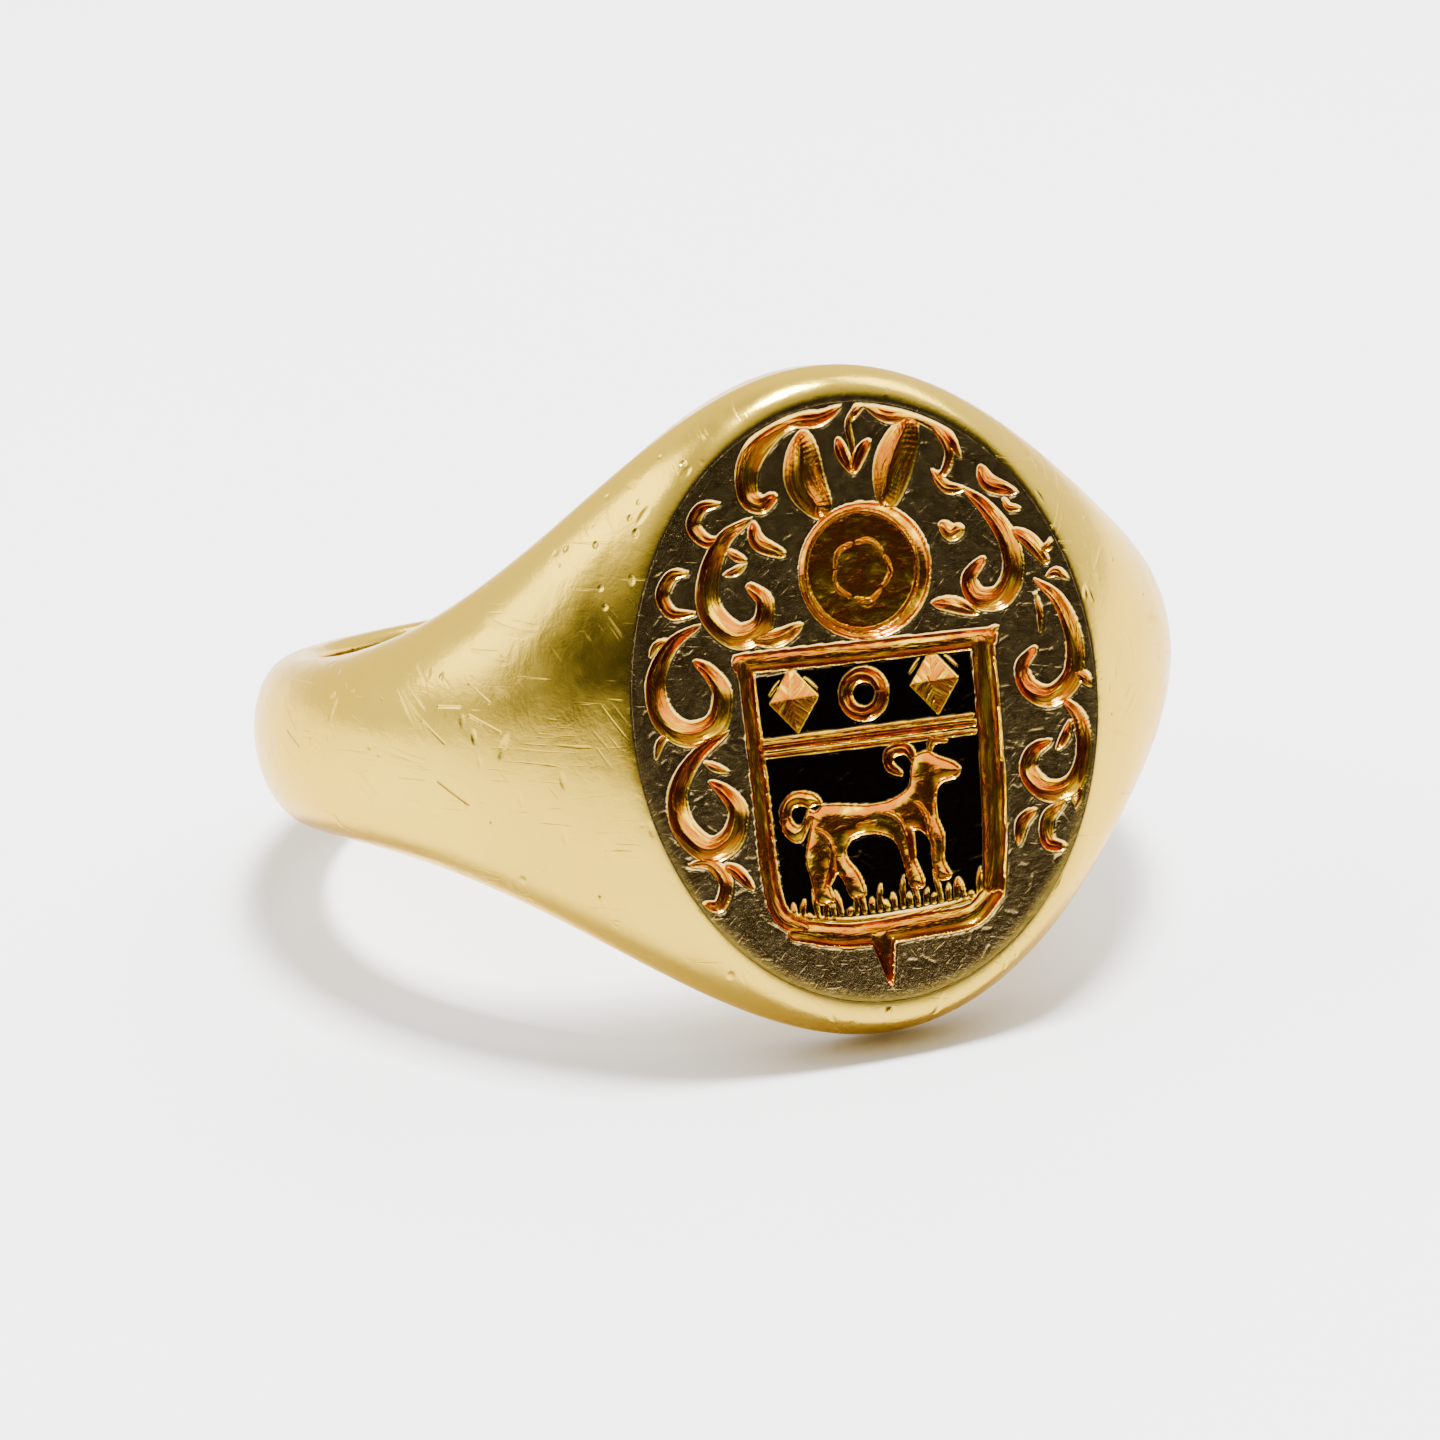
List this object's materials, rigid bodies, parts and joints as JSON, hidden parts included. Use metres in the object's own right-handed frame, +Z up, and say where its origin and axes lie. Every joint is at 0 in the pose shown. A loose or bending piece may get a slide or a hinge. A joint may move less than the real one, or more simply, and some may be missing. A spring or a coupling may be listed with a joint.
{
  "type": "signet ring",
  "caption": "Heavy oval signet ring lying on its side, with a flared head, a flat seal face cut with a shield, a round boss and scroll foliage, and a plain tapering band.",
  "frame": {"origin": "middle of the ring's footprint, on the surface it lies on", "axes": "+Z up, out of the surface; the seal face looks to -Y and leans up; +X runs across the head, to the right of someone who looks at the face"},
  "size_m": [0.0224, 0.0232, 0.0152],
  "materials": {
    "polished_gold": "worn polish with fine scratches",
    "engraved_gold": "satin face with bright hand-cut engraving",
    "gold_solder": "polished flush"
  },
  "bodies": {
    "root": {"seal_table": "engraved_gold", "table_solder": "gold_solder", "head_saddle": "polished_gold", "left_shoulder": "polished_gold", "right_shoulder": "polished_gold", "left_shoulder_solder": "gold_solder", "right_shoulder_solder": "gold_solder", "shank_back": "polished_gold", "left_shank_solder": "gold_solder", "right_shank_solder": "gold_solder"}
  },
  "joints": []
}
